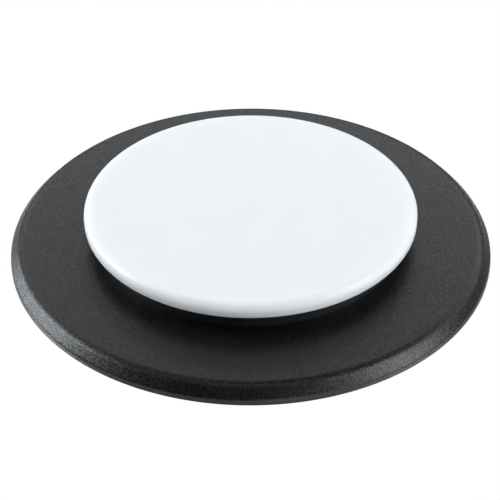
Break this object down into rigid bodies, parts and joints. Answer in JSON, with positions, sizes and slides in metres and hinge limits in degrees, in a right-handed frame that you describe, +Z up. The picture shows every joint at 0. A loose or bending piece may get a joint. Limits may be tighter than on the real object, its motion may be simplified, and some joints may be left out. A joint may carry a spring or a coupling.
{
  "type": "dealer button",
  "caption": "Flat round dealer button: a wide grained black plate, a short neck and a white overhanging cap with a blank face, weighted inside and rubber-footed.",
  "frame": {"origin": "middle of the grip pad's underside, the face that the button rests on", "axes": "+Z up, out of the cap's flat face; +X and +Y lie in the plane of the plate, with one screw on +Y and one key rib on -Y"},
  "size_m": [0.076, 0.076, 0.0081],
  "materials": {
    "grained_plastic": "black moulded plastic with a fine spark-eroded grain",
    "smooth_plastic": "black moulded plastic, smooth satin",
    "white_plastic": "cool white moulded plastic, satin",
    "ballast_steel": "punched steel, tumbled edges",
    "foam": "grey closed-cell foam",
    "screw_steel": "zinc-plated steel",
    "tape": "clear double-sided tape on a thin film",
    "grip_rubber": "black matt rubber with a fine weave"
  },
  "bodies": {
    "base": {"base_plate": "grained_plastic", "hub": "smooth_plastic", "ballast_disc": "ballast_steel", "ballast_pad": "foam", "hub_screws": "screw_steel", "pad_tape": "tape", "grip_pad": "grip_rubber"},
    "cap": {"cap": "white_plastic"}
  },
  "joints": [
    {"name": "cap_lift", "type": "slide", "parent": "base", "child": "cap", "axis": [0, 0, 1], "range_m": [0, 0.004]}
  ]
}
